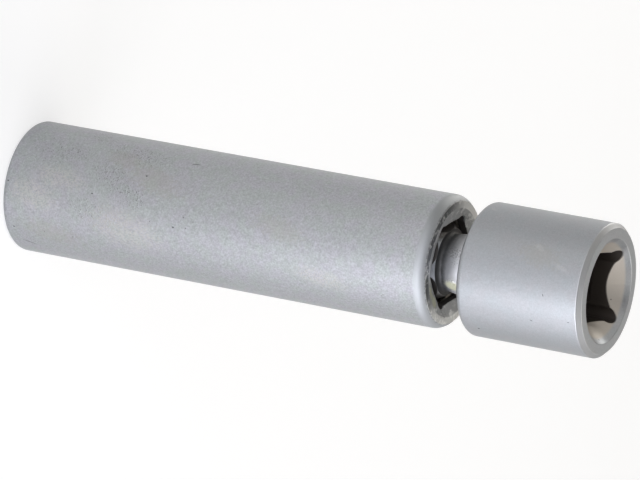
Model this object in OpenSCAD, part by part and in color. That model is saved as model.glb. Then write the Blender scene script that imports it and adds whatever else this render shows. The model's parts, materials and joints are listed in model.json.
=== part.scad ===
// Swivel spark plug socket: a long thin-wall sleeve with a twelve-point end for the plug, and a
// square-drive end whose six-sided ball tilts in the sleeve's other end.
// Millimetres, +Z up along the socket. It stands on the plug end, and the origin is the centre of
// that end's face.

/* [Sleeve] */
// Length of the sleeve, from the plug end to the joint end
sleeve_len = 68.2; // [60:0.1:90]
// Wall of the sleeve outside the lead-in of its twelve-point opening
sleeve_wall = 1.285; // [1.2:0.005:2]
// Radius on the sleeve's outer edge at the plug end
plug_end_round = 0.8; // [0.3:0.1:0.9]
// Bevel at the joint end: its length along the sleeve, where it blends into the side
joint_bevel_len = 1.5; // [1:0.1:1.8]
// Bevel at the joint end: its width on the face
joint_bevel_w = 0.75; // [0.5:0.05:0.9]

/* [Plug end] */
// Plug hexagon that the twelve-point opening turns, across its flats
plug_hex = 14; // [13.6:0.1:14.2]
// Clearance between the plug's flats and the opening
plug_play = 0.1; // [0.05:0.05:0.2]
// Depth of the twelve-point opening
point_depth = 11; // [8:0.5:14]
// How far the lead-in cone opens beyond the points, on the radius
lead_in = 0.1; // [0.05:0.05:0.2]
// Length of the turned relief behind the points
relief_len = 1.4; // [1:0.1:2.5]
// Diameter of the bore around the plug's insulator
bore_d = 11.6; // [10.8:0.1:12]

/* [Plug magnet] */
// Length of the ring magnet
magnet_len = 4; // [3:0.1:6]
// Clearance round the magnet, on the radius
magnet_play = 0.05; // [0.02:0.01:0.1]
// Wire of the clip that keeps the magnet in
clip_wire = 0.7; // [0.5:0.05:0.8]

/* [Swivel ball] */
// Depth of the tilt centre below the sleeve's joint face
pivot_depth = 4.9; // [4.8:0.05:5.2]
// Diameter of the ball over its six round lands
ball_d = 12.9; // [12.6:0.05:13]
// Size across the ball's flats at its middle
ball_af = 11.4; // [11:0.05:11.5]
// Height of the straight band round the middle of the flats
ball_band = 0.8; // [0.4:0.1:1.2]
// Taper of the flats above and below that band
flat_taper = 14.5; // [13.5:0.1:16]
// Clearance between the ball's flats and the sleeve's, on each side
flat_play = 0.18; // [0.15:0.01:0.25]
// How far the six-sided opening is turned against the square drive
hex_turn = 9.7; // [0:0.1:59.9]

/* [Swivel opening] */
// Slope of the shallow dish round the six-sided mouth
dish_slope = 15; // [8:1:20]
// Width of the dish, measured out from the mouth's flats
dish_w = 1.9; // [1:0.1:2]
// Diameter of the drill that relieves the corners of both broached openings
corner_drill_d = 2.35; // [2.2:0.05:2.4]
// Radius of the circle that those drill centres lie on
corner_drill_r = 5.66; // [5.62:0.02:5.7]
// Depth of the six-sided opening, from the joint face
hex_depth = 12.3; // [12.2:0.1:13]

/* [Retaining ring] */
// Wire of the ring that keeps the ball in
ring_wire = 1.2; // [1:0.05:1.3]
// Depth of the ring's middle below the joint face
ring_depth = 2.25; // [2.1:0.05:2.5]
// Running clearance between the ring and the ball
ring_play = 0.05; // [0.02:0.01:0.1]
// Opening between the ring's ends, as an angle
ring_gap_angle = 34; // [20:2:60]
// Clearance of the ring in its groove
groove_play = 0.05; // [0.02:0.01:0.1]

/* [Friction cup and spring] */
// Sheet of the cup that rubs on the ball's underside
cup_t = 0.7; // [0.5:0.05:0.8]
// Half the angle that the cup wraps round the ball
cup_angle = 39; // [36:0.5:39.5]
// Running clearance of the cup, against the ball and against the spring
cup_play = 0.05; // [0.02:0.01:0.1]
// Wire of the spring
spring_wire = 0.9; // [0.7:0.05:1]
// Diameter of the spring, at the middle of its wire
spring_d = 5.8; // [5.4:0.1:6]
// Number of turns of the spring
spring_turns = 4; // [3:0.25:5]
// Depth of the spring's pocket below the six-sided opening
spring_pocket_depth = 5.9; // [5:0.1:8]
// Thickness of the wall between the spring and the plug's bore
web_t = 1.6; // [1.2:0.1:2]
// Diameter of the hole through that wall
web_hole_d = 4; // [3:0.1:4.5]

/* [Drive end] */
// How far the drive end's side lies inside the sleeve's, on the radius
drive_inset = 0.025; // [0:0.005:0.3]
// Length of the drive end's body
drive_len = 19.1; // [17:0.1:24]
// Gap between the sleeve and the drive end, along the neck
neck_gap = 4.85; // [4.6:0.05:6]
// Diameter of the neck
neck_d = 8.75; // [8.4:0.05:8.8]
// Diameter of the ball's flat shoulder, which the neck rises from
shoulder_d = 9.5; // [9.2:0.1:9.8]
// Diameter of the waist above the neck's root
waist_d = 8.1; // [7.8:0.05:8.2]
// Length over which the waist flares out to the neck
waist_flare = 2.8; // [2:0.1:3.4]
// Radius on the body's inner edge
drive_round = 0.8; // [0.3:0.1:1.2]
// Chamfer on the body's outer edge
drive_chamfer = 0.64; // [0.4:0.02:0.9]
// Radius on the sharp turned edges of both bodies
edge_break = 0.12; // [0.05:0.01:0.15]

/* [Square drive] */
// Square opening across its flats, for a 3/8 inch drive
square_af = 9.7; // [9.58:0.02:9.8]
// Depth of the square opening
square_depth = 12.5; // [11:0.5:14]
// Diameter of the countersink at the face
sink_d = 14.83; // [14:0.05:15.4]
// Diameter of the turned groove that the drive's detent ball drops into
detent_d = 11.1; // [10.8:0.1:11.4]
// Width of that groove
detent_w = 3.2; // [2.8:0.1:3.6]
// Depth of the groove's middle below the face
detent_depth = 6.5; // [6:0.1:7]
// Depth of the drill point beyond the square
drill_point = 2; // [1:0.1:2.4]

/* [Hidden] */

$fn = 96;
// One overrun serves every cut
over = 0.5;
// Steps of a rounded edge, of a broken edge, of the neck's flare and of the cup's curve
round_steps = 8;
break_steps = 3;
flare_steps = 12;
cup_steps = 12;
// Share of the clip's wire that sits in its groove, and slack of the spring in its pocket, in wires
clip_seat_share = 0.4;
spring_slack_share = 0.3;
// Share of a turn that lies flat at each end of the spring
flat_turn_share = 0.85;
// Share of the shoulder's step that stays flat outside the root's fillet
shoulder_flat_share = 0.15;
// Share of the corner relief that the drill point inside the square stays clear of
drill_point_share = 0.35;
// Sides of the spring's wire, and wire sections in one turn
wire_sides = 8;
turn_steps = 18;

// Heights up the socket
pivot_z = sleeve_len - pivot_depth;
ring_z = sleeve_len - ring_depth;
hex_floor_z = sleeve_len - hex_depth;
web_top_z = hex_floor_z - spring_pocket_depth;
bore_depth = web_top_z - web_t;
neck_top_z = sleeve_len + neck_gap;
drive_top_z = neck_top_z + drive_len;
relief_top_z = point_depth + relief_len;

// The twelve-point opening
point_apothem = plug_hex / 2 + plug_play / 2;
point_r = point_apothem / cos(30);
mouth_r = point_r + lead_in;

// Both bodies have nearly the same diameter
sleeve_d = 2 * (mouth_r + sleeve_wall);
drive_d = sleeve_d - 2 * drive_inset;

// The magnet slides in past the points and stops on the step where the bore narrows
pocket_r = point_apothem;
magnet_r = pocket_r - magnet_play;
magnet_bore_r = bore_d / 2 + 2 * magnet_play;
clip_z = relief_top_z + clip_wire;
clip_groove_r = pocket_r + clip_wire * clip_seat_share;
clip_r = clip_groove_r - groove_play - clip_wire / 2;
magnet_z = clip_z + clip_wire / 2 + groove_play;
pocket_top_z = magnet_z + magnet_len;

// The ball and the six-sided opening
ball_r = ball_d / 2;
ball_apothem = ball_af / 2;
hex_apothem = ball_apothem + flat_play;
corner_r = corner_drill_d / 2;
dish_outer_r = hex_apothem + dish_w;
dish_depth = dish_w * tan(dish_slope);

// The shoulder cuts the ball's top off, and a fillet leads from it to the waist
shoulder_r = shoulder_d / 2;
shoulder_z = pivot_z + sqrt(ball_r * ball_r - shoulder_r * shoulder_r);
root_fillet = (shoulder_r - waist_d / 2) * (1 - shoulder_flat_share);
root_r = waist_d / 2 + root_fillet;
waist_z = shoulder_z + root_fillet;

// The ring touches the ball above its middle, and sits in a groove of the sleeve
ring_reach = ball_r + ring_play + ring_wire / 2;
ring_rise = pivot_depth - ring_depth;
ring_r = sqrt(ring_reach * ring_reach - ring_rise * ring_rise);
groove_r = ring_r + ring_wire / 2 + groove_play;
groove_w = ring_wire + 2 * groove_play;

// The cup is a piece of a hollow sphere round the tilt centre, and the spring pushes it up
cup_in_r = ball_r + cup_play;
cup_out_r = cup_in_r + cup_t;
spring_r = spring_d / 2;
spring_reach = cup_out_r + cup_play + spring_wire / 2;
spring_top_z = pivot_z - sqrt(spring_reach * spring_reach - spring_r * spring_r);
spring_foot_z = web_top_z + cup_play + spring_wire / 2;
spring_pocket_r = spring_r + spring_wire / 2 + spring_wire * spring_slack_share;

// The square opening
square_half = square_af / 2;
sink_r = sink_d / 2;
square_floor_z = drive_top_z - square_depth;
drill_point_r = square_half - corner_r * drill_point_share;

// Points of an arc round c, from angle a to angle b
function arc(c, r, a, b, steps) = [for (i = [0:steps]) let(t = a + (b - a) * i / steps)
    [c.x + r * cos(t), c.y + r * sin(t)]];

// The corner b of an outline that runs from a to c, rounded with radius r
function rounded(a, b, c, r, steps) = let(
    p = (a - b) / norm(a - b), q = (c - b) / norm(c - b), half = acos(p * q) / 2,
    centre = b + (p + q) / norm(p + q) * r / sin(half),
    from = b + p * r / tan(half) - centre, to = b + q * r / tan(half) - centre,
    start = atan2(from.y, from.x), turn = atan2(to.y, to.x) - start,
    sweep = turn > 180 ? turn - 360 : turn < -180 ? turn + 360 : turn)
    arc(centre, r, start, start + sweep, steps);

// Radius of the neck at share s of its flare, from the waist up
function neck_flare(s) = (waist_d + (neck_d - waist_d) * sin(90 * s)) / 2;

// Height of the spring's wire after share s of its turns: both end turns lie flat
spring_flat_share = flat_turn_share / spring_turns;
function spring_rise(s) = spring_wire * s * spring_turns
    + (spring_top_z - spring_foot_z - spring_wire * spring_turns) * ease(s);
function ease(s) = s < spring_flat_share ? 0 : s > 1 - spring_flat_share ? 1
    : (1 - cos(180 * (s - spring_flat_share) / (1 - 2 * spring_flat_share))) / 2;

module wire_ring(radius, wire, gap_angle) {
    // A round-wire spring ring, open between its ends
    rotate([0, 0, gap_angle / 2]) rotate_extrude(angle = 360 - gap_angle) translate([radius, 0]) circle(d = wire);
}

module six_sided(apothem, height) {
    cylinder(h = height, r = apothem / cos(30), $fn = 6);
}

module corner_reliefs(count, height) {
    // Drilled reliefs in the corners of a broached opening, the first at angle 0
    for (i = [0:count - 1]) rotate([0, 0, 360 / count * i])
        translate([corner_drill_r, 0, 0]) cylinder(h = height, r = corner_r);
}

module sleeve_blank() {
    r = sleeve_d / 2;
    foot = [r, 0];
    low = [r, sleeve_len - joint_bevel_len / 2];
    high = [r - joint_bevel_w, sleeve_len];
    // The bevel's blend into the side starts at its full length below the face
    blend_r = joint_bevel_len / 2 / tan(atan(2 * joint_bevel_w / joint_bevel_len) / 2);
    rotate_extrude() polygon(concat(
        [[0, 0]],
        rounded([0, 0], foot, low, plug_end_round, round_steps),
        rounded(foot, low, high, blend_r, round_steps),
        rounded(low, high, [0, sleeve_len], edge_break, break_steps),
        [[0, sleeve_len]]));
}

module twelve_point_opening() {
    for (turn = [0, 30]) rotate([0, 0, turn]) translate([0, 0, -over]) six_sided(point_apothem, point_depth + over);
    // Lead-in at the mouth, which opens by its own depth
    translate([0, 0, -over]) cylinder(h = mouth_r - point_apothem + over, r1 = mouth_r + over, r2 = point_apothem);
    translate([0, 0, point_depth]) cylinder(h = relief_len, r = mouth_r);
}

module magnet_pocket() {
    translate([0, 0, point_depth]) cylinder(h = pocket_top_z - point_depth, r = pocket_r);
    translate([0, 0, clip_z - clip_wire / 2 - groove_play])
        cylinder(h = clip_wire + 2 * groove_play, r = clip_groove_r);
}

module plug_bore() {
    cylinder(h = bore_depth, d = bore_d);
    cylinder(h = web_top_z + over, d = web_hole_d);
}

module joint_opening() {
    translate([0, 0, web_top_z]) cylinder(h = sleeve_len - web_top_z, r = spring_pocket_r);
    translate([0, 0, hex_floor_z]) rotate([0, 0, hex_turn]) {
        six_sided(hex_apothem, hex_depth + over);
        corner_reliefs(6, hex_depth + over);
    }
    translate([0, 0, ring_z - groove_w / 2]) cylinder(h = groove_w, r = groove_r);
    // Shallow dish round the mouth
    translate([0, 0, sleeve_len - dish_depth])
        cylinder(h = dish_depth + over, r1 = hex_apothem, r2 = dish_outer_r + over / tan(dish_slope));
}

module sleeve() {
    color([0.68, 0.70, 0.72]) difference() {
        sleeve_blank();
        twelve_point_opening();
        magnet_pocket();
        plug_bore();
        joint_opening();
    }
}

module ball_flats() {
    // One pair of opposite flats: a straight band at the middle, tapering above and below
    reach = ball_r + over;
    tip = ball_apothem - (reach - ball_band / 2) * tan(flat_taper);
    rotate([90, 0, 0]) linear_extrude(height = 4 * ball_r, center = true) polygon([
        [ball_apothem, ball_band / 2], [tip, reach], [-tip, reach], [-ball_apothem, ball_band / 2],
        [-ball_apothem, -ball_band / 2], [-tip, -reach], [tip, -reach], [ball_apothem, -ball_band / 2]]);
}

module swivel_ball() {
    translate([0, 0, pivot_z]) rotate([0, 0, hex_turn + 30]) intersection() {
        sphere(r = ball_r);
        ball_flats();
        rotate([0, 0, 60]) ball_flats();
        rotate([0, 0, 120]) ball_flats();
        translate([0, 0, -ball_r - over]) cylinder(h = ball_r + over + shoulder_z - pivot_z, r = ball_r + over);
    }
}

module neck() {
    // From inside the ball to the body: the root's fillet, the waist, its flare and the straight neck
    rotate_extrude() polygon(concat(
        [[0, pivot_z], [root_r, pivot_z]],
        arc([root_r, waist_z], root_fillet, 270, 180, round_steps),
        [for (i = [1:flare_steps]) [neck_flare(i / flare_steps), waist_z + waist_flare * i / flare_steps]],
        [[neck_d / 2, neck_top_z + over], [0, neck_top_z + over]]));
}

module drive_blank() {
    // The body with its countersink, as deep as it is wide on the radius
    r = drive_d / 2;
    inner = [r, neck_top_z];
    side = [r, drive_top_z - drive_chamfer];
    face = [r - drive_chamfer, drive_top_z];
    mouth = [sink_r, drive_top_z];
    sink_floor = [0, drive_top_z - sink_r];
    rotate_extrude() polygon(concat(
        [[0, neck_top_z]],
        rounded([0, neck_top_z], inner, side, drive_round, round_steps),
        rounded(inner, side, face, edge_break, break_steps),
        rounded(side, face, mouth, edge_break, break_steps),
        rounded(face, mouth, sink_floor, edge_break, break_steps),
        [sink_floor]));
}

module square_opening() {
    translate([-square_half, -square_half, square_floor_z]) cube([square_af, square_af, square_depth + over]);
    translate([0, 0, square_floor_z]) rotate([0, 0, 45]) corner_reliefs(4, square_depth + over);
    translate([0, 0, square_floor_z - drill_point]) cylinder(h = drill_point, r1 = 0, r2 = drill_point_r);
    translate([0, 0, drive_top_z - detent_depth - detent_w / 2]) cylinder(h = detent_w, d = detent_d);
}

module drive_end() {
    color([0.72, 0.74, 0.77]) difference() {
        union() {
            drive_blank();
            neck();
            swivel_ball();
        }
        square_opening();
    }
}

module retaining_ring() {
    color([0.45, 0.42, 0.38]) translate([0, 0, ring_z]) wire_ring(ring_r, ring_wire, ring_gap_angle);
}

module friction_cup() {
    // A pressed dome, a piece of a hollow sphere about the tilt centre
    color([0.60, 0.60, 0.58]) translate([0, 0, pivot_z]) rotate_extrude() polygon(concat(
        arc([0, 0], cup_in_r, -90, cup_angle - 90, cup_steps),
        arc([0, 0], cup_out_r, cup_angle - 90, -90, cup_steps)));
}

module joint_spring() {
    // Round wire swept along a helix whose end turns lie flat
    steps = round(turn_steps * spring_turns);
    lean = atan(spring_wire / (2 * PI * spring_r));
    points = [for (i = [0:steps], k = [0:wire_sides - 1])
        let(turn = 360 * spring_turns * i / steps, a = 360 / wire_sides * k,
            out = spring_wire / 2 * cos(a), up = spring_wire / 2 * sin(a))
        [(spring_r + out) * cos(turn) + up * sin(lean) * sin(turn),
         (spring_r + out) * sin(turn) - up * sin(lean) * cos(turn),
         spring_foot_z + spring_rise(i / steps) + up * cos(lean)]];
    sides = [for (i = [0:steps - 1], k = [0:wire_sides - 1]) let(n = (k + 1) % wire_sides, a = i * wire_sides)
        [a + k, a + n, a + wire_sides + n, a + wire_sides + k]];
    color([0.50, 0.50, 0.52]) polyhedron(points = points, faces = concat(
        [[for (k = [wire_sides - 1:-1:0]) k]],
        sides,
        [[for (k = [0:wire_sides - 1]) steps * wire_sides + k]]));
}

module plug_magnet() {
    color([0.55, 0.56, 0.58]) translate([0, 0, magnet_z]) difference() {
        cylinder(h = magnet_len - magnet_play, r = magnet_r);
        translate([0, 0, -over]) cylinder(h = magnet_len + 2 * over, r = magnet_bore_r);
    }
}

module magnet_clip() {
    color([0.42, 0.42, 0.44]) translate([0, 0, clip_z]) wire_ring(clip_r, clip_wire, ring_gap_angle);
}

sleeve();
drive_end();
retaining_ring();
joint_spring();
friction_cup();
plug_magnet();
magnet_clip();
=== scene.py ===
"""Looks of the swivel spark plug socket: finishes, dirt and grease, some painted shade, painted light and
a painted reflection, with the camera, light and floor.
"""

from __future__ import annotations

import json
import logging
import math
from dataclasses import dataclass, field
from enum import Enum
from typing import Callable, Iterable, Mapping, Union

import bpy
from mathutils import Matrix, Vector

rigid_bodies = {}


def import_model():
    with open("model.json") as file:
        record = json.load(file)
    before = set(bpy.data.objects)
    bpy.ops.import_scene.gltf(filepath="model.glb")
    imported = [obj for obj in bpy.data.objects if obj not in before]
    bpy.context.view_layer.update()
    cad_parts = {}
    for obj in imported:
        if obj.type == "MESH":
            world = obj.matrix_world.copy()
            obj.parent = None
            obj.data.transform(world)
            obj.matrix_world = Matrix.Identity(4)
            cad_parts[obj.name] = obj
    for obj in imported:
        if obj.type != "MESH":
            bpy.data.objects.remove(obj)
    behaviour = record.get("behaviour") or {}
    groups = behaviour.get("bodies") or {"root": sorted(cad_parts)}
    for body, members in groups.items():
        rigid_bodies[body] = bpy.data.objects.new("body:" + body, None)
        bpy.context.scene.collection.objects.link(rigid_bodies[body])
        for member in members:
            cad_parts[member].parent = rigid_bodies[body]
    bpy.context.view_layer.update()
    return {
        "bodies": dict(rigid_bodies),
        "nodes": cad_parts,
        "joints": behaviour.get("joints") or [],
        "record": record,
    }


log = logging.getLogger("socket")

MM = 0.001

Colour = tuple[float, float, float]
Place = tuple[float, float, float]
Input = Union[bpy.types.NodeSocket, float, int, tuple]
# A mask is 0 up to the first of these values and 1 from the second, which may be the lower one
Fade = tuple[float, float]

# Sizes of the CAD model that the dirt, the wear and the painted shade and light follow, in mm
PIVOT_Z = 63.3
BALL_R = 6.45
SLEEVE_TOP = 68.2
BORE_R = 8.24
FACE_TOP = 92.15
SINK_R = 7.415

SENSOR_WIDTH = 36.0


def direction(azimuth: float, elevation: float) -> Vector:
    """Gives a direction as a vector.

    Args:
        azimuth: about +Z from +X, in degrees.
        elevation: above the horizon, in degrees.

    Returns:
        The unit vector.
    """
    a, e = math.radians(azimuth), math.radians(elevation)
    return Vector((math.cos(a) * math.cos(e), math.sin(a) * math.cos(e), math.sin(e)))


@dataclass(frozen=True)
class Viewpoint:
    """The photograph's camera, in the part's frame.

    Attributes:
        aim: point that the camera looks at, in mm.
        azimuth: direction from the socket to the camera, about +Z from +X, in degrees.
        elevation: height of the camera above the horizon, in degrees.
        roll: turn of the picture about the line of sight, in degrees.
        distance: from the aim to the camera, in mm.
        lens: focal length, in mm.
    """

    aim: Place = (-0.06, -0.29, 47.05)
    azimuth: float = 168.81
    elevation: float = 26.24
    roll: float = 100.51
    distance: float = 730.1
    lens: float = 289.93

    def back(self) -> Vector:
        """Returns the unit vector from the socket to the camera."""
        return direction(self.azimuth, self.elevation)

    def build(self) -> None:
        """Makes the camera and sets it as the scene's."""
        data = bpy.data.cameras.new("camera")
        data.lens = self.lens
        data.sensor_width = SENSOR_WIDTH
        camera = bpy.data.objects.new("camera", data)
        bpy.context.scene.collection.objects.link(camera)
        back = self.back()
        level_right = Vector((0, 0, 1)).cross(back).normalized()
        level_up = back.cross(level_right)
        turn = math.radians(self.roll)
        right = level_right * math.cos(turn) + level_up * math.sin(turn)
        up = back.cross(right)
        place = Vector(self.aim) * MM + back * self.distance * MM
        axes = Matrix((right, up, back)).transposed().to_4x4()
        camera.matrix_world = Matrix.Translation(place) @ axes
        bpy.context.scene.camera = camera


@dataclass(frozen=True)
class Softbox:
    """A soft rectangular light that faces the socket.

    Attributes:
        name: name of the light.
        azimuth: direction from the socket, in degrees from the camera's azimuth.
        elevation: height above the horizon, in degrees.
        power: in watts.
        colour: linear colour of the light.
        size: width and height, in mm.
        distance: from the socket's middle, in mm.
    """

    name: str
    azimuth: float
    elevation: float
    power: float
    colour: Colour
    size: tuple[float, float] = (250, 250)
    distance: float = 450

    def build(self, view: Viewpoint, aim: Vector) -> None:
        """Makes the light.

        Args:
            view: the camera that the azimuth is counted from.
            aim: the point that the light faces, in metres.
        """
        data = bpy.data.lights.new(self.name, "AREA")
        data.shape = "RECTANGLE"
        data.size, data.size_y = (side * MM for side in self.size)
        data.energy = self.power
        data.color = self.colour
        lamp = bpy.data.objects.new(self.name, data)
        bpy.context.scene.collection.objects.link(lamp)
        out = direction(view.azimuth + self.azimuth, self.elevation)
        lamp.location = aim + out * self.distance * MM
        lamp.rotation_mode = "QUATERNION"
        lamp.rotation_quaternion = out.to_track_quat("Z", "Y")


COOL: Colour = (0.985, 0.995, 1.065)
WARM: Colour = (1.03, 1.0, 0.95)
LIGHTS: tuple[Softbox, ...] = (
    Softbox("key", 45, 1, 1.36, COOL),
    Softbox("key_side", 75, 5, 0.74, COOL),
    Softbox("key_high", 75, 30, 0.23, COOL),
    Softbox("low_side", 105, 5, 0.14, COOL),
    Softbox("side_back", 135, 5, 0.15, WARM),
    Softbox("front_low", 15, 5, 0.36, COOL),
    Softbox("front_left", -15, 5, 0.17, COOL),
    Softbox("front_high", 15, 30, 0.13, COOL),
    Softbox("front_upper", -15, 30, 0.30, COOL),
    Softbox("top_front", -45, 5, 0.22, WARM),
    Softbox("top_steep", -75, 55, 0.14, WARM),
    Softbox("top_side", -105, 30, 0.16, WARM),
    Softbox("top_back", -135, 5, 0.65, WARM),
    Softbox("back", 165, 30, 0.10, WARM),
    Softbox("back_left", -165, 30, 0.08, WARM),
    Softbox("back_high", 135, 55, 0.50, WARM),
    Softbox("overhead", 90, 80, 0.28, WARM),
)


@dataclass(frozen=True)
class Lumps:
    """A noise over the surface.

    Attributes:
        scale: its lumps per mm.
        detail: how many times finer lumps are added.
        rough: how strong the finer lumps are.
    """

    scale: float
    detail: float = 3.0
    rough: float = 0.6


GRAIN = Lumps(1.0, 1.0, 0.5)
BORDER = Lumps(2.2, 4.0)
RIM_BREAKS = Lumps(1.3, 4.0, 0.65)
CLOUDS = Lumps(0.45)
OIL_PATCHES = Lumps(0.8)
DULL_PATCHES = Lumps(0.6)
SHADE_PATCHES = Lumps(0.9, 4.0, 0.65)
MARK_CRUMBS = Lumps(4.2)
LINE_CRUMBS = Lumps(2.4)
MOUTH_CREEP = Lumps(1.6)
BALL_CREEP = Lumps(1.4, 4.0, 0.65)


class Shader:
    """Builds one node tree, a material's or a group's, in few words."""

    def __init__(self, tree: bpy.types.NodeTree) -> None:
        self.tree = tree

    def add(self, kind: str, **settings) -> bpy.types.Node:
        """Adds a node.

        Args:
            kind: Blender's name of the node's type.
            settings: values of the node's own properties.

        Returns:
            The node.
        """
        node = self.tree.nodes.new(kind)
        for key, value in settings.items():
            setattr(node, key, value)
        return node

    def feed(self, socket: bpy.types.NodeSocket, value: Input) -> None:
        """Gives an input a link or a plain value.

        Args:
            socket: the input.
            value: an output to link, or a number, vector or colour.
        """
        if isinstance(value, bpy.types.NodeSocket):
            self.tree.links.new(value, socket)
        elif socket.type == "RGBA":
            socket.default_value = (*value, 1.0)[:4]
        else:
            socket.default_value = value

    def math(self, operation: str, *values: Input, clamp: bool = False) -> bpy.types.NodeSocket:
        """Adds a Math node and returns its output."""
        node = self.add("ShaderNodeMath", operation=operation, use_clamp=clamp)
        for socket, value in zip(node.inputs, values):
            self.feed(socket, value)
        return node.outputs[0]

    def vector(self, operation: str, *values: Input) -> bpy.types.Node:
        """Adds a Vector Math node and returns it."""
        node = self.add("ShaderNodeVectorMath", operation=operation)
        for socket, value in zip(node.inputs, values):
            self.feed(socket, value)
        return node

    def scaled(self, vector: Input, factor: Input) -> bpy.types.NodeSocket:
        """Returns a vector times a number."""
        node = self.vector("SCALE", vector)
        self.feed(node.inputs["Scale"], factor)
        return node.outputs["Vector"]

    def step(self, value: Input, low: Input, high: Input) -> bpy.types.NodeSocket:
        """Returns 0 below low and 1 above high, with a smooth step; low above high turns it round."""
        node = self.add("ShaderNodeMapRange", interpolation_type="SMOOTHSTEP")
        for key, item in (("Value", value), ("From Min", low), ("From Max", high)):
            self.feed(node.inputs[key], item)
        return node.outputs["Result"]

    def mix(self, share: Input, first: Input, second: Input) -> bpy.types.NodeSocket:
        """Returns first where share is 0 and second where it is 1, as a number."""
        node = self.add("ShaderNodeMix", data_type="FLOAT")
        for socket, value in zip((node.inputs[0], node.inputs[2], node.inputs[3]), (share, first, second)):
            self.feed(socket, value)
        return node.outputs[0]

    def blend(self, share: Input, first: Input, second: Input) -> bpy.types.NodeSocket:
        """Returns first where share is 0 and second where it is 1, as a colour."""
        node = self.add("ShaderNodeMix", data_type="RGBA")
        for socket, value in zip((node.inputs[0], node.inputs[6], node.inputs[7]), (share, first, second)):
            self.feed(socket, value)
        return node.outputs[2]

    def both(self, *masks: Input) -> Input:
        """Returns the product of some masks, 1 where all of them are."""
        product = masks[0]
        for mask in masks[1:]:
            product = self.math("MULTIPLY", product, mask)
        return product

    def noise(self, place: Input, lumps: Lumps) -> bpy.types.NodeSocket:
        """Returns a noise value between 0 and 1."""
        node = self.add("ShaderNodeTexNoise")
        for key, value in (("Vector", place), ("Scale", lumps.scale), ("Detail", lumps.detail),
                           ("Roughness", lumps.rough)):
            self.feed(node.inputs[key], value)
        return node.outputs[0]

    def millimetres(self) -> bpy.types.NodeSocket:
        """Returns the object coordinates in mm."""
        return self.scaled(self.add("ShaderNodeTexCoord").outputs["Object"], 1 / MM)

    def round_the_axis(self, place: Input) -> tuple[Input, Input]:
        """Returns the distance from the socket's axis and the height up it."""
        split = self.add("ShaderNodeSeparateXYZ")
        self.feed(split.inputs[0], place)
        x, y, z = split.outputs
        return self.hypotenuse(x, y), z

    def hypotenuse(self, x: Input, y: Input) -> bpy.types.NodeSocket:
        """Returns the root of the sum of two squares."""
        return self.math("SQRT", self.math("ADD", self.both(x, x), self.both(y, y)))

    def most(self, masks: Iterable[Input]) -> Input:
        """Returns the largest of some masks at each point."""
        masks = list(masks)
        largest = masks[0]
        for mask in masks[1:]:
            largest = self.math("MAXIMUM", largest, mask)
        return largest


class Effect(Enum):
    """The node groups that the finishes share."""

    GRAIN = "grain"
    PITS = "pits"
    PATCH = "patch"
    RIM = "rim"
    HAIRLINES = "hairlines"


# Grain: how much coarser its second noise is, and the first one's share
COARSENING = 2.0
FINE_SHARE = 0.67
# Pits: the smallest pit as a share of the largest, and the flat floor as a share of a pit
SMALLEST_PIT = 0.3
PIT_FLOOR = 0.4
# Patches and rims: where they fade out, and how far a rim's noise lifts its width
PATCH_FADE: Fade = (1.0, 0.45)
RIM_CORE = 0.3
RIM_LEAST = 0.5
# Hairlines: lumps per mm across and along them, and which peaks of the noise show
HAIRLINE_STRETCH: Place = (6.0, 6.0, 0.2)
HAIRLINE_FADE: Fade = (0.60, 0.70)


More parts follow.
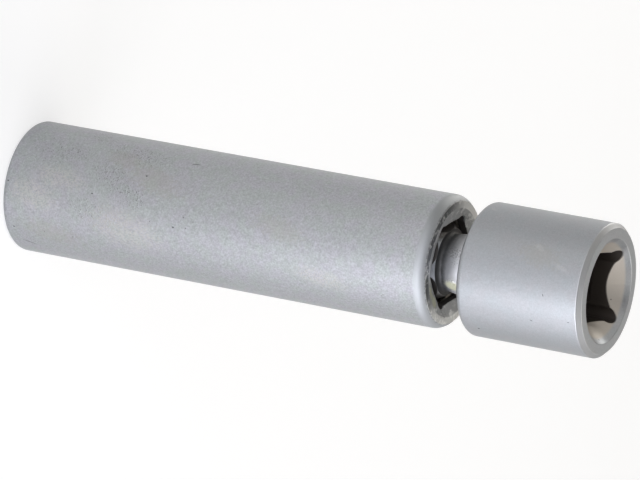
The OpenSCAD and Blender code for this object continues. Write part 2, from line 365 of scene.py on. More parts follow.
class Effects:
    """Makes each shared node group once and places it in materials."""

    INPUTS: dict[Effect, tuple[tuple[str, str], ...]] = {
        Effect.GRAIN: (("Place", "Vector"), ("Size", "Float")),
        Effect.PITS: (("Place", "Vector"), ("Spacing", "Float"), ("Radius", "Float"), ("Share", "Float")),
        Effect.PATCH: (("Place", "Vector"), ("Centre", "Vector"), ("Along", "Vector"), ("Length", "Float"),
                       ("Width", "Float"), ("Ragged", "Float")),
        Effect.RIM: (("Place", "Vector"), ("Radius", "Float"), ("Height", "Float"), ("Width", "Float")),
        Effect.HAIRLINES: (("Place", "Vector"), ("Turn", "Vector")),
    }

    def __init__(self) -> None:
        self.trees: dict[Effect, bpy.types.NodeTree] = {}

    def place(self, shader: Shader, effect: Effect, **values: Input) -> bpy.types.NodeSocket:
        """Places a group in a material.

        Args:
            shader: the material's tree.
            effect: which group.
            values: the group's inputs by name.

        Returns:
            The group's only output, a mask or a value that changes over the surface.
        """
        if effect not in self.trees:
            self.trees[effect] = self._make(effect)
        node = shader.add("ShaderNodeGroup", node_tree=self.trees[effect])
        for key, value in values.items():
            shader.feed(node.inputs[key], value)
        return node.outputs[0]

    def _make(self, effect: Effect) -> bpy.types.NodeTree:
        """Makes a group's tree with its sockets."""
        tree = bpy.data.node_groups.new(effect.value, "ShaderNodeTree")
        for name, kind in self.INPUTS[effect]:
            tree.interface.new_socket(name, in_out="INPUT", socket_type=f"NodeSocket{kind}")
        tree.interface.new_socket("Value", in_out="OUTPUT", socket_type="NodeSocketFloat")
        shader = Shader(tree)
        source = shader.add("NodeGroupInput").outputs
        makers: dict[Effect, Callable] = {
            Effect.GRAIN: self._grain, Effect.PITS: self._pits, Effect.PATCH: self._patch,
            Effect.RIM: self._rim, Effect.HAIRLINES: self._hairlines,
        }
        shader.feed(shader.add("NodeGroupOutput").inputs["Value"], makers[effect](shader, source))
        return tree

    @staticmethod
    def _grain(shader: Shader, source: Mapping[str, Input]) -> bpy.types.NodeSocket:
        """Blasted grain: a fine noise with half as much of a coarser one, 0.5 on average."""
        place, size = source["Place"], source["Size"]
        fine = shader.noise(shader.scaled(place, shader.math("DIVIDE", 1.0, size)), GRAIN)
        coarse = shader.noise(shader.scaled(place, shader.math("DIVIDE", 1 / COARSENING, size)), GRAIN)
        return shader.math("ADD", shader.both(fine, FINE_SHARE), shader.both(coarse, 1 - FINE_SHARE))

    @staticmethod
    def _pits(shader: Shader, source: Mapping[str, Input]) -> bpy.types.NodeSocket:
        """Round pits: a share of the cells has one of up to the radius at its centre."""
        spacing = source["Spacing"]
        cells = shader.add("ShaderNodeTexVoronoi")
        place = shader.scaled(source["Place"], shader.math("DIVIDE", 1.0, spacing))
        shader.feed(cells.inputs["Vector"], place)
        shader.feed(cells.inputs["Scale"], 1.0)
        lots = shader.add("ShaderNodeSeparateColor")
        shader.feed(lots.inputs[0], cells.outputs["Color"])
        reach = shader.math("DIVIDE", source["Radius"], spacing)
        spread = shader.math("ADD", shader.both(lots.outputs[1], 1 - SMALLEST_PIT), SMALLEST_PIT)
        size = shader.both(reach, spread)
        round_pit = shader.step(cells.outputs["Distance"], size, shader.both(size, PIT_FLOOR))
        return shader.both(round_pit, shader.math("LESS_THAN", lots.outputs[0], source["Share"]))

    @staticmethod
    def _patch(shader: Shader, source: Mapping[str, Input]) -> bpy.types.NodeSocket:
        """An oval round the centre: 1 inside and 0 outside, its border broken by noise."""
        place, length, width = source["Place"], source["Length"], source["Width"]
        away = shader.vector("SUBTRACT", place, source["Centre"]).outputs[0]
        along = shader.vector("DOT_PRODUCT", away, source["Along"]).outputs["Value"]
        square = shader.vector("DOT_PRODUCT", away, away).outputs["Value"]
        along_square = shader.both(along, along)
        across_square = shader.math("SUBTRACT", square, along_square)
        long_part = shader.math("DIVIDE", along_square, shader.both(length, length))
        wide_part = shader.math("DIVIDE", across_square, shader.both(width, width))
        reach = shader.math("SQRT", shader.math("ADD", long_part, wide_part))
        wander = shader.math("SUBTRACT", shader.noise(place, BORDER), 0.5)
        ragged = shader.math("ADD", reach, shader.both(wander, source["Ragged"]))
        return shader.step(ragged, *PATCH_FADE)

    @staticmethod
    def _rim(shader: Shader, source: Mapping[str, Input]) -> bpy.types.NodeSocket:
        """Wear along a round edge: 1 on the circle of that radius and height, 0 from the width on."""
        radius, height = shader.round_the_axis(source["Place"])
        out = shader.math("SUBTRACT", radius, source["Radius"])
        up = shader.math("SUBTRACT", height, source["Height"])
        away = shader.hypotenuse(out, up)
        lift = shader.math("ADD", shader.noise(source["Place"], RIM_BREAKS), RIM_LEAST)
        width = shader.both(source["Width"], lift)
        return shader.step(away, width, shader.both(width, RIM_CORE))

    @staticmethod
    def _hairlines(shader: Shader, source: Mapping[str, Input]) -> bpy.types.NodeSocket:
        """Fine scratches: a noise drawn out thirty times along one direction, of which the peaks show."""
        turned = shader.add("ShaderNodeVectorRotate", rotation_type="EULER_XYZ")
        shader.feed(turned.inputs["Vector"], source["Place"])
        shader.feed(turned.inputs["Rotation"], source["Turn"])
        drawn = shader.vector("MULTIPLY", turned.outputs[0], HAIRLINE_STRETCH).outputs[0]
        return shader.step(shader.noise(drawn, GRAIN), *HAIRLINE_FADE)


class Kind(Enum):
    """What a mark on the surface is."""

    PITTING = "pitting"
    STAIN = "stain"
    HAZE = "haze"
    SPECK = "speck"
    BRIGHT = "bright"
    SMUDGE = "smudge"
    GREASE = "grease"


@dataclass(frozen=True)
class Mark:
    """One mark of use, an oval on a round surface about the axis.

    Attributes:
        kind: what it is.
        height: up the socket, in mm.
        angle: round the axis from +X, in degrees.
        length: half its length, in mm.
        width: half its width, in mm.
        lean: turn of its length from the axis towards a growing angle, in degrees.
        radius: of the surface that it is on, in mm.
        ragged: how far noise breaks its border, as a share of its size.
    """

    kind: Kind
    height: float
    angle: float
    length: float
    width: float
    lean: float = 0.0
    radius: float = 9.5
    ragged: float = 1.2

    def mask(self, shader: Shader, effects: Effects, place: Input) -> bpy.types.NodeSocket:
        """Returns the mark's mask in a material."""
        a, lean = math.radians(self.angle), math.radians(self.lean)
        centre = (self.radius * math.cos(a), self.radius * math.sin(a), self.height)
        along = (-math.sin(a) * math.sin(lean), math.cos(a) * math.sin(lean), math.cos(lean))
        return effects.place(shader, Effect.PATCH, Place=place, Centre=centre, Along=along,
                             Length=self.length, Width=self.width, Ragged=self.ragged)


SLEEVE_MARKS: tuple[Mark, ...] = (
    Mark(Kind.PITTING, 12, 106, 3.0, 1.8, 20, 9.5, 1.8),
    Mark(Kind.PITTING, 20, 122, 7.0, 2.2, 5, 9.5, 2.0),
    Mark(Kind.PITTING, 8, 135, 6.0, 2.6, 0, 9.5, 2.4),
    Mark(Kind.PITTING, 16, -175, 7.0, 2.2, 10, 9.5, 2.4),
    Mark(Kind.PITTING, 18, 153, 6.5, 2.6, 28, 9.5, 1.8),
    Mark(Kind.PITTING, 21, 163, 3.2, 2.0, 30, 9.5, 1.8),
    Mark(Kind.STAIN, 18, 130, 3.6, 1.8, 10, 9.5, 2.2),
    Mark(Kind.STAIN, 24, 146, 6.0, 2.4, 15, 9.5, 2.2),
    Mark(Kind.STAIN, 8, -150, 6.0, 2.2, 8, 9.5, 2.2),
    Mark(Kind.STAIN, 45, 168, 5.0, 2.0, 12, 9.5, 2.2),
    Mark(Kind.HAZE, 20.5, -167, 7.5, 3.6, 12, 9.5, 1.8),
    Mark(Kind.HAZE, 5, 177, 5.0, 2.6, 10, 9.5, 1.8),
    Mark(Kind.HAZE, 9, 158, 5.0, 2.0, 5, 9.5, 1.8),
    Mark(Kind.HAZE, 52, -155, 5.0, 1.8, 8, 9.5, 1.8),
    Mark(Kind.SPECK, 1.7, -149, 0.2, 0.16, 0, 9.52, 0.4),
    Mark(Kind.SPECK, 0.8, 169, 0.2, 0.16, 0, 9.5, 0.4),
    Mark(Kind.SPECK, 14.7, 167, 0.22, 0.13, 0, 9.52, 0.4),
    Mark(Kind.SPECK, 28.4, -177, 0.24, 0.15, 0, 9.52, 0.4),
    Mark(Kind.SPECK, 22.4, 143, 0.2, 0.15, 0, 9.52, 0.4),
    Mark(Kind.SPECK, 28.8, 121, 0.9, 0.09, -10, 9.52, 0.3),
    Mark(Kind.SPECK, 3.5, -132, 1.5, 0.09, 17, 9.52, 0.3),
    Mark(Kind.SMUDGE, 68.0, 80, 1.3, 0.8, 70, 7.1),
    Mark(Kind.SMUDGE, 68.0, 62, 1.2, 0.7, 80, 6.9),
    Mark(Kind.SMUDGE, 68.1, -105, 1.6, 0.8, 85, 7.4),
    Mark(Kind.GREASE, 68.0, -149, 1.5, 0.8, 84, 7.1, 1.2),
    Mark(Kind.GREASE, 68.0, -133, 1.4, 1.0, 80, 6.9, 1.2),
)

DRIVE_MARKS: tuple[Mark, ...] = (
    Mark(Kind.SPECK, 75.9, -130, 0.2, 0.17, 0, 9.5, 0.4),
    Mark(Kind.SPECK, 84.7, -153, 0.28, 0.08, 25, 9.5, 0.3),
    Mark(Kind.SPECK, 86.5, -178, 0.3, 0.07, 65, 9.5, 0.3),
    Mark(Kind.SPECK, 90.4, -158, 0.2, 0.08, 0, 9.5, 0.3),
    Mark(Kind.SPECK, 90.3, -22, 0.14, 0.14, 0, 5.6, 0.4),
    Mark(Kind.SPECK, 91.6, -94, 0.16, 0.16, 0, 6.9, 0.4),
    Mark(Kind.BRIGHT, 74.9, 108, 0.9, 0.3, 35, 9.5, 1.6),
    Mark(Kind.BRIGHT, 84.5, 143, 1.2, 0.5, 30, 9.5, 1.6),
    Mark(Kind.BRIGHT, 88.5, 157, 1.6, 0.4, 20, 9.5, 1.6),
    Mark(Kind.STAIN, 85, 150, 4.0, 2.0, 12, 9.5, 2.2),
    Mark(Kind.PITTING, 70.0, 168, 1.1, 0.9, 0, 4.25, 0.8),
    Mark(Kind.SMUDGE, 70.2, 150, 1.7, 1.2, 0, 4.25, 0.9),
    Mark(Kind.SMUDGE, 69.9, -141, 2.0, 1.6, 10, 4.25, 0.8),
    Mark(Kind.GREASE, 69.9, -141, 1.6, 1.2, 10, 4.25, 0.7),
)


@dataclass(frozen=True)
class Layer:
    """What one kind of mark or dirt does to the surface under it.

    Attributes:
        share: how much of the surface's own look it hides.
        colour: linear colour that it puts on.
        roughness: roughness that it gives.
        metallic: how metallic it is.
        rise: how far it stands up from the surface, in mm; below 0 it is sunk in.
    """

    share: float
    colour: Colour
    roughness: float
    metallic: float = 1.0
    rise: float = 0.0


LAYERS: dict[Kind, Layer] = {
    Kind.PITTING: Layer(0.55, (0.14, 0.135, 0.13), 0.6, 0.9, -0.002),
    Kind.STAIN: Layer(0.22, (0.42, 0.40, 0.34), 0.5),
    Kind.HAZE: Layer(0.50, (0.62, 0.60, 0.57), 0.45),
    Kind.SPECK: Layer(0.8, (0.08, 0.08, 0.085), 0.6, 0.8, -0.01),
    Kind.BRIGHT: Layer(0.18, (0.70, 0.70, 0.69), 0.40),
    Kind.SMUDGE: Layer(0.55, (0.17, 0.17, 0.17), 0.6, 0.8),
    Kind.GREASE: Layer(0.92, (0.52, 0.52, 0.37), 0.42, 0.10, 0.08),
}
# Marks that crumble: the noise level at which each kind begins to show, and how far its border fades
CRUMBLING: dict[Kind, float] = {Kind.PITTING: 0.53, Kind.SMUDGE: 0.47, Kind.HAZE: 0.44}
CRUMB_FADE = 0.12

# Dark brown oil that is also painted shade in the hollows: on the ball's flats and shoulder, at the ends
# of its lands and in the sleeve's cavity
OIL_AND_SHADE = Layer(0.96, (0.078, 0.071, 0.063), 0.42, 0.55)
# Dark brown on the square's walls below the countersink
SQUARE_DARK_BROWN = Layer(0.96, (0.061, 0.049, 0.039), 0.45, 0.40)
# Near-black oil and painted shade where the neck meets the ball's shoulder
ROOT_OIL_AND_SHADE = Layer(0.93, (0.035, 0.034, 0.032), 0.5, 0.7)
OIL_FILM = Layer(0.93, (0.075, 0.070, 0.062), 0.38, 0.7)
# Painted shade: darkens the joint face, most on two of its sides
FACE_PAINTED_SHADE = Layer(0.90, (0.052, 0.060, 0.066), 0.5, 0.85)
FACE_DUST = Layer(0.90, (0.88, 0.87, 0.83), 0.6, 0.6)
# Painted light: a paler, brighter colour on the neck
NECK_PAINTED_LIGHT = Layer(0.9, (0.80, 0.81, 0.84), 0.40)
RIM_WEAR = Layer(0.40, (0.74, 0.74, 0.74), 0.38)
BORE_DULL = Layer(0.65, (0.26, 0.25, 0.23), 0.5, 0.9)
# The blasted bevel: rougher, with its colour darkened as painted shade
BEVEL_BLAST_AND_SHADE = Layer(0.90, (0.42, 0.435, 0.445), 0.64)
CHAMFER_RUB = Layer(0.9, (0.47, 0.475, 0.48), 0.56)
# Painted reflection: a warm tan in the countersink
SINK_WARM_REFLECTION = Layer(0.75, (0.60, 0.545, 0.475), 0.5)
OIL_FILM_FADE: Fade = (0.42, 0.6)
DULL_FADE: Fade = (0.5, 0.7)


@dataclass(frozen=True)
class Specks:
    """Small dark pits strewn over a surface.

    Attributes:
        spacing: from one possible place to the next, in mm.
        radius: of the largest, in mm.
        share: how many of the possible places have one.
        layer: what they look like.
    """

    spacing: float
    radius: float
    share: float
    layer: Layer


@dataclass(frozen=True)
class Hairlines:
    """Fine scratches in one direction.

    Attributes:
        turn: their direction, as three angles in radians.
        share: how strongly they show.
    """

    turn: Place
    share: float


class Skin:
    """The surface of one material while its layers are put on."""

    def __init__(self, shader: Shader, colour: Input, roughness: Input) -> None:
        self.shader = shader
        self.colour = colour
        self.roughness = roughness
        self.metallic: Input = 1.0
        self.height: Input = 0.0

    def cover(self, mask: Input, layer: Layer) -> None:
        """Puts a layer on where the mask is 1.

        Args:
            mask: where, from 0 to 1.
            layer: what is put on.
        """
        share = self.shader.math("MULTIPLY", mask, layer.share, clamp=True)
        self.colour = self.shader.blend(share, self.colour, layer.colour)
        self.roughness = self.shader.mix(share, self.roughness, layer.roughness)
        if layer.metallic < 1.0 or not isinstance(self.metallic, float):
            self.metallic = self.shader.mix(share, self.metallic, layer.metallic)
        if layer.rise:
            self.raise_by(mask, layer.rise)

    def raise_by(self, mask: Input, rise: float) -> None:
        """Raises the surface by rise mm where the mask is 1."""
        self.height = self.shader.math("ADD", self.height, self.shader.both(mask, rise))

    def shade(self, factor: Input) -> None:
        """Multiplies the colour by a factor that changes over the surface."""
        self.colour = self.shader.scaled(self.colour, factor)

    def close(self, surface: bpy.types.Node) -> None:
        """Links the layers to the material's shader."""
        bump = self.shader.add("ShaderNodeBump")
        bump.inputs["Distance"].default_value = MM
        self.shader.feed(bump.inputs["Height"], self.height)
        self.shader.feed(surface.inputs["Base Color"], self.colour)
        self.shader.feed(surface.inputs["Roughness"], self.roughness)
        self.shader.feed(surface.inputs["Metallic"], self.metallic)
        self.shader.feed(surface.inputs["Normal"], bump.outputs[0])


# How far the cloudy tint fades in, and the grain's swing of the roughness
CLOUD_FADE: Fade = (0.35, 0.65)
ROUGHNESS_SWING = 0.16


@dataclass(frozen=True)
class Finish:
    """A metal with grain and cloudy tints; its subclasses add their own dirt and wear.

    Attributes:
        name: the material slot.
        colour: linear base colour.
        cloud: linear colour of its cloudy parts.
        roughness: mean roughness.
        grain_size: size of the grain, in mm.
        grain: how much the grain changes the colour.
        relief: depth of the grain, in mm.
    """

    name: str
    colour: Colour
    cloud: Colour
    roughness: float
    grain_size: float
    grain: float
    relief: float

    def build(self, effects: Effects) -> bpy.types.Material:
        """Makes the material.

        Args:
            effects: the shared node groups.

        Returns:
            The material.
        """
        material = bpy.data.materials.new(self.name)
        material.use_nodes = True
        shader = Shader(material.node_tree)
        place = shader.millimetres()
        grain = effects.place(shader, Effect.GRAIN, Place=place, Size=self.grain_size)
        cloudy = shader.step(shader.noise(place, CLOUDS), *CLOUD_FADE)
        colour = shader.blend(cloudy, self.colour, self.cloud)
        least = self.roughness - ROUGHNESS_SWING / 2
        rough = shader.math("ADD", shader.both(grain, ROUGHNESS_SWING), least)
        skin = Skin(shader, colour, rough)
        skin.shade(shader.math("ADD", shader.both(grain, self.grain), 1 - self.grain / 2))
        skin.raise_by(grain, self.relief)
        self.wear(shader, effects, place, skin)
        skin.close(material.node_tree.nodes["Principled BSDF"])
        return material

    def wear(self, shader: Shader, effects: Effects, place: Input, skin: Skin) -> None:
        """Adds what is special to a finish; a plain one has a thin film of oil in patches.

        Args:
            shader: the material's tree.
            effects: the shared node groups; not used by a plain finish.
            place: the point on the surface, in mm.
            skin: the surface, to be covered.
        """
        skin.cover(shader.step(shader.noise(place, OIL_PATCHES), *OIL_FILM_FADE), OIL_FILM)

    @staticmethod
    def put_specks(shader: Shader, effects: Effects, place: Input, skin: Skin, specks: Specks) -> None:
        """Strews specks over the surface."""
        mask = effects.place(shader, Effect.PITS, Place=place, Spacing=specks.spacing,
                             Radius=specks.radius, Share=specks.share)
        skin.cover(mask, specks.layer)

    @staticmethod
    def put_lines(shader: Shader, effects: Effects, place: Input, skin: Skin, lines: Hairlines) -> None:
        """Draws hairlines over the surface."""
        mask = effects.place(shader, Effect.HAIRLINES, Place=place, Turn=lines.turn)
        skin.cover(shader.both(mask, lines.share), LAYERS[Kind.HAZE])

    @staticmethod
    def put_marks(shader: Shader, effects: Effects, place: Input, skin: Skin,
                  marks: Iterable[Mark]) -> None:
        """Covers the surface with marks of use, those of one kind together.

        Args:
            shader: the material's tree.
            effects: the shared node groups.
            place: the point on the surface, in mm.
            skin: the surface, to be covered.
            marks: the marks.
        """
        crumbs = shader.noise(place, MARK_CRUMBS)
        for kind in Kind:
            masks = [mark.mask(shader, effects, place) for mark in marks if mark.kind is kind]
            if not masks:
                continue
            mask = shader.most(masks)
            if kind in CRUMBLING:
                start = CRUMBLING[kind]
                mask = shader.both(mask, shader.step(crumbs, start, start + CRUMB_FADE))
            skin.cover(mask, LAYERS[kind])


# Sleeve: fades over the height, in mm
BEVEL_UP: Fade = (66.4, 67.0)
FACE_UP: Fade = (67.55, 67.7)
FACE_LINE_UP: Fade = (67.7, 67.9)
PLUG_BORE_DOWN: Fade = (50.0, 49.0)
SWIVEL_UP: Fade = (49.0, 50.0)
MOUTH_DOWN: Fade = (SLEEVE_TOP - 0.20, SLEEVE_TOP - 0.36)
MOUTH_CREEP_REACH = 0.5
# Sleeve: fades over the distance from the axis, in mm
INSIDE: Fade = (BORE_R + 0.06, BORE_R - 0.04)
BEVEL_OUT: Fade = (8.76, 8.84)
FACE_IN: Fade = (8.86, 8.70)
DISH_OUT: Fade = (7.70, 7.86)
FACE_LINE_OUT: Fade = (8.70, 8.80)
FACE_LINE_IN: Fade = (8.98, 8.88)
# Joint face: dust in the dish against that on the flat, and the painted shade's two sides and its patches
DISH_DUST = 0.75
SHADE_SIDE: Place = (-0.108, 0.045, 0.0)
SHADE_SIDE_FADE: Fade = (-0.1, 0.8)
LOW_SIDE: Place = (0.0, -0.12, 0.0)
LOW_SIDE_FADE: Fade = (-0.3, 0.7)
LOW_SIDE_SHARE = 0.36
DISH_SHADE = 0.55
SHADE_PATCH_FADE: Fade = (0.26, 0.52)
LINE_FADE: Fade = (0.42, 0.6)


@dataclass(frozen=True)
class SatinSleeve(Finish):
    """The sleeve: blasted satin chrome, pitted in places, with painted shade on the joint face and dark
    oil and painted shade inside the swivel's mouth.

    Attributes:
        marks: the marks of use.
        specks: the pits all over.
        lines: the hairlines all over.
        rims: radius and height of the edges that are worn bright, in mm.
        rim_width: how far their wear reaches, in mm.
    """

    marks: tuple[Mark, ...] = SLEEVE_MARKS
    specks: Specks = Specks(1.2, 0.17, 0.16, Layer(0.62, (0.17, 0.17, 0.17), 0.6, 0.9, -0.003))
    lines: Hairlines = Hairlines((0.5, 0.3, 0.0), 0.25)
    rims: tuple[tuple[float, float], ...] = ((8.78, SLEEVE_TOP), (8.34, 0.0), (7.78, SLEEVE_TOP))
    rim_width: float = 0.14

    def wear(self, shader: Shader, effects: Effects, place: Input, skin: Skin) -> None:
        """Adds specks, worn edges, the blasted bevel with painted shade, dust, painted shade and grime on
        the face, the bore, oil and painted shade in the mouth, and marks.
        """
        radius, height = shader.round_the_axis(place)
        self.put_specks(shader, effects, place, skin, self.specks)
        self.put_lines(shader, effects, place, skin, self.lines)
        for rim_radius, rim_height in self.rims:
            worn = effects.place(shader, Effect.RIM, Place=place, Radius=rim_radius, Height=rim_height,
                                 Width=self.rim_width)
            skin.cover(worn, RIM_WEAR)
        bevel = shader.both(shader.step(height, *BEVEL_UP), shader.step(radius, *BEVEL_OUT))
        # Painted shade: the rougher bevel is also darkened
        skin.cover(bevel, BEVEL_BLAST_AND_SHADE)
        self._dust(shader, skin, radius, height)
        self._painted_shade(shader, place, skin, radius, height)
        self._line(shader, place, skin, radius, height)
        inside = shader.step(radius, *INSIDE)
        skin.cover(shader.both(inside, shader.step(height, *PLUG_BORE_DOWN)), BORE_DULL)
        # Oil and painted shade: the cavity below the swivel's mouth is painted dark brown
        creep = shader.both(shader.noise(place, MOUTH_CREEP), MOUTH_CREEP_REACH)
        mouth = shader.step(shader.math("ADD", height, creep), *MOUTH_DOWN)
        skin.cover(shader.both(inside, mouth, shader.step(height, *SWIVEL_UP)), OIL_AND_SHADE)
        self.put_marks(shader, effects, place, skin, self.marks)

    @staticmethod
    def _on_face(shader: Shader, radius: Input, height: Input) -> Input:
        """Returns the mask of the joint face with its dish."""
        return shader.both(shader.step(radius, *FACE_IN), shader.step(height, *FACE_UP))

    @classmethod
    def _dust(cls, shader: Shader, skin: Skin, radius: Input, height: Input) -> None:
        """Puts dust on the joint face, and less of it in the dish."""
        dish = shader.step(radius, *DISH_OUT)
        amount = shader.math("ADD", shader.both(dish, 1 - DISH_DUST), DISH_DUST)
        skin.cover(shader.both(cls._on_face(shader, radius, height), amount), FACE_DUST)

    @classmethod
    def _painted_shade(cls, shader: Shader, place: Input, skin: Skin, radius: Input, height: Input) -> None:
        """Puts painted shade in patches on the face: a band on its -X side, and a thinner one on its -Y
        side.
        """
        near = shader.vector("DOT_PRODUCT", place, SHADE_SIDE).outputs["Value"]
        low = shader.vector("DOT_PRODUCT", place, LOW_SIDE).outputs["Value"]
        band = shader.most((shader.step(near, *SHADE_SIDE_FADE),
                            shader.both(shader.step(low, *LOW_SIDE_FADE), LOW_SIDE_SHARE)))
        side = shader.mix(shader.step(radius, *DISH_OUT), DISH_SHADE, band)
        patchy = shader.step(shader.noise(place, SHADE_PATCHES), *SHADE_PATCH_FADE)
        skin.cover(shader.both(cls._on_face(shader, radius, height), shader.both(side, patchy)), FACE_PAINTED_SHADE)

    @staticmethod
    def _line(shader: Shader, place: Input, skin: Skin, radius: Input, height: Input) -> None:
        """Puts a crumbling line of grime where the face meets the bevel."""
        line = shader.both(shader.step(radius, *FACE_LINE_OUT), shader.step(radius, *FACE_LINE_IN),
                           shader.step(height, *FACE_LINE_UP))
        crumbs = shader.step(shader.noise(place, LINE_CRUMBS), *LINE_FADE)
        skin.cover(shader.both(line, crumbs), LAYERS[Kind.SMUDGE])


# Drive end: fades over the height, in mm
HEAD_UP: Fade = (78.0, 79.0)
HEAD_DOWN: Fade = (78.0, 77.0)
NECK_UP: Fade = (68.4, 69.2)
ROOT_DOWN: Fade = (69.7, 68.3)
ROOT_UP: Fade = (67.60, 67.65)
BALL_TOP_DOWN: Fade = (67.65, 67.60)
LAND_ENDS_DOWN: Fade = (68.1, 67.8)
# Drive end: fades over the distance from the axis, in mm
SINK_IN: Fade = (6.95, 6.55)
NECK_IN: Fade = (5.5, 5.0)
SQUARE_IN: Fade = (SINK_R + 0.1, SINK_R)
# Drive end: depth below the countersink's cone, and below the ball's round surface, in mm
WALL_DEPTH: Fade = (0.06, 0.22)
FLAT_DEPTH: Fade = (BALL_R - 0.02, BALL_R - 0.07)
# Ball: how far the border of the oil and painted shade wanders, and where the lands are darkened on both
# sides, in mm
BALL_CREEP_REACH = 1.6
ROOT_CREEP_SHARE = 0.5
LAND_RIGHT: Fade = (3.6, 5.0)
LAND_LEFT: Fade = (-4.3, -5.6)


@dataclass(frozen=True)
class BrightDrive(Finish):
    """The drive end: smoother chrome, a painted warm reflection in its countersink, oil and painted shade
    on the ball, painted light on the neck, dark brown in the square.

    Attributes:
        marks: the marks of use.
        specks: the pits all over.
        rims: radius and height of the edges that are worn bright, in mm.
        rim_width: how far their wear reaches, in mm.
        rim_share: how strong it is.
        chamfer: radius, height and reach of the chamfer, in mm.
    """

    marks: tuple[Mark, ...] = DRIVE_MARKS
    specks: Specks = Specks(2.2, 0.12, 0.08, Layer(0.4, (0.22, 0.22, 0.23), 0.6, 0.9, -0.003))
    rims: tuple[tuple[float, float], ...] = ((9.5, 91.51), (8.86, FACE_TOP))
    rim_width: float = 0.13
    rim_share: float = 0.6
    chamfer: tuple[float, float, float] = (9.18, 91.83, 0.55)

    def wear(self, shader: Shader, effects: Effects, place: Input, skin: Skin) -> None:
        """Adds specks, worn edges, the countersink's painted warm reflection, the dark square, the ball's
        oil and painted shade and the neck's painted light, and marks.
        """
        radius, height = shader.round_the_axis(place)
        self.put_specks(shader, effects, place, skin, self.specks)
        for rim_radius, rim_height in self.rims:
            worn = effects.place(shader, Effect.RIM, Place=place, Radius=rim_radius, Height=rim_height,
                                 Width=self.rim_width)
            skin.cover(shader.both(worn, self.rim_share), RIM_WEAR)
        rubbed_radius, rubbed_height, reach = self.chamfer
        rubbed = effects.place(shader, Effect.RIM, Place=place, Radius=rubbed_radius, Height=rubbed_height,
                               Width=reach)
        skin.cover(rubbed, CHAMFER_RUB)
        on_head = shader.step(height, *HEAD_UP)
        # Painted warm reflection in the countersink
        skin.cover(shader.both(on_head, shader.step(radius, *SINK_IN)), SINK_WARM_REFLECTION)
        # Dark brown on the square's walls below the countersink's cone
        below = shader.math("SUBTRACT", shader.math("ADD", radius, FACE_TOP - SINK_R), height)
        walls = shader.both(shader.step(below, *WALL_DEPTH), shader.step(radius, *SQUARE_IN))
        skin.cover(shader.both(walls, on_head), SQUARE_DARK_BROWN)
        self._ball(shader, place, skin, radius, height)
        self.put_marks(shader, effects, place, skin, self.marks)

    @staticmethod
    def _ball(shader: Shader, place: Input, skin: Skin, radius: Input, height: Input) -> None:
        """Puts dark oil and painted shade on the ball's flats and shoulder, at both ends of its lands, and
        up the neck's root, and painted light on the neck.
        """
        away = shader.vector("DISTANCE", place, (0.0, 0.0, PIVOT_Z)).outputs["Value"]
        # Oil and painted shade on the ball's flats and shoulder, then at both ends of its lands
        skin.cover(shader.both(shader.step(away, *FLAT_DEPTH), shader.step(height, *BALL_TOP_DOWN)), OIL_AND_SHADE)
        wander = shader.both(shader.noise(place, BALL_CREEP), BALL_CREEP_REACH)
        across = shader.vector("DOT_PRODUCT", place, (0.0, 1.0, 0.0)).outputs["Value"]
        ends = shader.most((shader.step(shader.math("ADD", across, wander), *LAND_RIGHT),
                            shader.step(shader.math("SUBTRACT", across, wander), *LAND_LEFT)))
        skin.cover(shader.both(ends, shader.step(height, *LAND_ENDS_DOWN)), OIL_AND_SHADE)
        neck = shader.both(shader.step(radius, *NECK_IN), shader.step(height, *NECK_UP))
        # Painted light: brightens the neck above its root
        skin.cover(shader.both(neck, shader.step(height, *HEAD_DOWN)), NECK_PAINTED_LIGHT)
        creep = shader.math("ADD", height, shader.both(wander, ROOT_CREEP_SHARE))
        # Oil and painted shade up the neck's root, its border wandering
        skin.cover(shader.both(shader.step(creep, *ROOT_DOWN), shader.step(height, *ROOT_UP)), ROOT_OIL_AND_SHADE)


@dataclass(frozen=True)
class Plate(Finish):
    """Bright plating, with hairlines and dull patches.

    Attributes:
        lines: the hairlines all over.
    """

    lines: Hairlines = Hairlines((1.2, 0.4, 0.0), 0.5)

    def wear(self, shader: Shader, effects: Effects, place: Input, skin: Skin) -> None:
        """Adds hairlines and dull patches."""
        self.put_lines(shader, effects, place, skin, self.lines)
        skin.cover(shader.step(shader.noise(place, DULL_PATCHES), *DULL_FADE), BORE_DULL)


FINISHES: tuple[Finish, ...] = (
    SatinSleeve("satin_chrome", (0.488, 0.519, 0.522), (0.508, 0.511, 0.550), 0.38, 0.24, 0.75, 0.003),
    BrightDrive("bright_chrome", (0.444, 0.466, 0.488), (0.453, 0.463, 0.485), 0.37, 0.20, 0.36, 0.002),
    Finish("spring_steel", (0.24, 0.21, 0.18), (0.30, 0.27, 0.23), 0.36, 0.12, 0.3, 0.002),
    Finish("pressed_steel", (0.42, 0.41, 0.39), (0.36, 0.35, 0.33), 0.40, 0.2, 0.3, 0.003),
    Plate("magnet_plate", (0.52, 0.52, 0.52), (0.48, 0.48, 0.47), 0.32, 0.2, 0.2, 0.001),
)


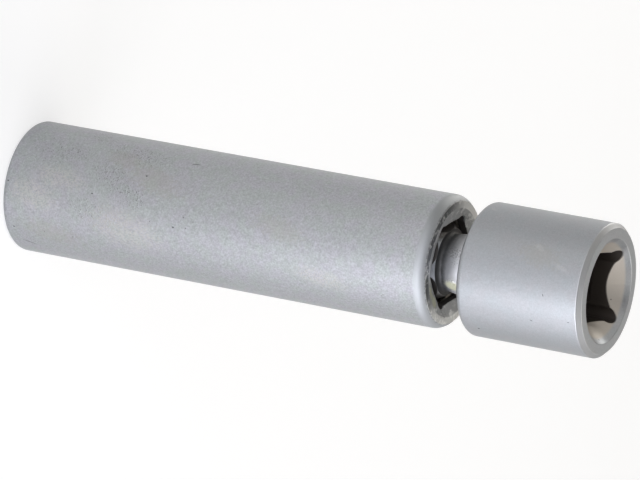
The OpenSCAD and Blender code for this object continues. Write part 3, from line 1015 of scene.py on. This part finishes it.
@dataclass(frozen=True)
class Studio:
    """Floor, world and lights.

    Attributes:
        view: the camera, which the lights are placed from.
        floor_half: half the floor's side, in metres.
        floor_gap: from the plug end down to the floor, in mm, so that their faces don't coincide.
        floor_colour: linear colour of the floor.
        floor_roughness: roughness of the floor.
        floor_glow: how far the floor is lifted towards white for the camera.
        mirrored_glow: how far it is lifted in reflections and through glass.
        world_strength: strength of the even light from all round.
    """

    view: Viewpoint
    lights: tuple[Softbox, ...] = field(default=LIGHTS)
    floor_half: float = 3.0
    floor_gap: float = 0.02
    floor_colour: Colour = (0.46, 0.46, 0.46)
    floor_roughness: float = 0.9
    floor_glow: float = 0.62
    mirrored_glow: float = 0.32
    world_strength: float = 0.02

    def build(self) -> None:
        """Makes the floor, the world's light and the softboxes."""
        self._floor()
        self._world()
        for light in self.lights:
            light.build(self.view, Vector(self.view.aim) * MM)
        bpy.context.scene.view_settings.view_transform = "Standard"

    def _floor(self) -> None:
        """Makes the floor, a plane that the plug end all but touches."""
        half, level = self.floor_half, -self.floor_gap * MM
        corners = [(x * half, y * half, level) for x, y in ((-1, -1), (1, -1), (1, 1), (-1, 1))]
        mesh = bpy.data.meshes.new("floor")
        mesh.from_pydata(corners, [], [(0, 1, 2, 3)])
        floor = bpy.data.objects.new("floor", mesh)
        bpy.context.scene.collection.objects.link(floor)
        material = bpy.data.materials.new("floor")
        material.use_nodes = True
        shader = Shader(material.node_tree)
        surface = material.node_tree.nodes["Principled BSDF"]
        surface.inputs["Base Color"].default_value = (*self.floor_colour, 1.0)
        surface.inputs["Roughness"].default_value = self.floor_roughness
        surface.inputs["Specular IOR Level"].default_value = 0.0
        surface.inputs["Emission Color"].default_value = (1.0, 1.0, 1.0, 1.0)
        rays = shader.add("ShaderNodeLightPath").outputs
        mirrored = shader.most((rays["Is Glossy Ray"], rays["Is Transmission Ray"]))
        glow = shader.most((shader.both(rays["Is Camera Ray"], self.floor_glow),
                            shader.both(mirrored, self.mirrored_glow)))
        shader.feed(surface.inputs["Emission Strength"], glow)
        mesh.materials.append(material)

    def _world(self) -> None:
        """Makes the world's even light."""
        world = bpy.data.worlds.new("world")
        world.use_nodes = True
        background = world.node_tree.nodes["Background"]
        background.inputs["Color"].default_value = (1.0, 1.0, 1.0, 1.0)
        background.inputs["Strength"].default_value = self.world_strength
        bpy.context.scene.world = world


class Socket:
    """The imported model, dressed in its finishes."""

    def __init__(self, frame: dict) -> None:
        self.nodes: dict[str, bpy.types.Object] = frame["nodes"]
        parts = frame["record"]["subparts"]
        self.slots: dict[str, str] = {part["node"]: part["material_slot"] for part in parts}

    def dress(self, finishes: Iterable[Finish]) -> None:
        """Gives every CAD node the finish of its material slot.

        Args:
            finishes: the finishes, named after the slots.
        """
        effects = Effects()
        made = {finish.name: finish.build(effects) for finish in finishes}
        for node, slot in self.slots.items():
            mesh = self.nodes[node].data
            mesh.materials.clear()
            mesh.materials.append(made[slot])
            log.info("%s: %s", node, slot)


def main() -> None:
    """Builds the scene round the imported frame."""
    logging.basicConfig(level=logging.INFO)
    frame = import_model()
    view = Viewpoint()
    view.build()
    Studio(view).build()
    Socket(frame).dress(FINISHES)


if __name__ == "__main__":
    main()
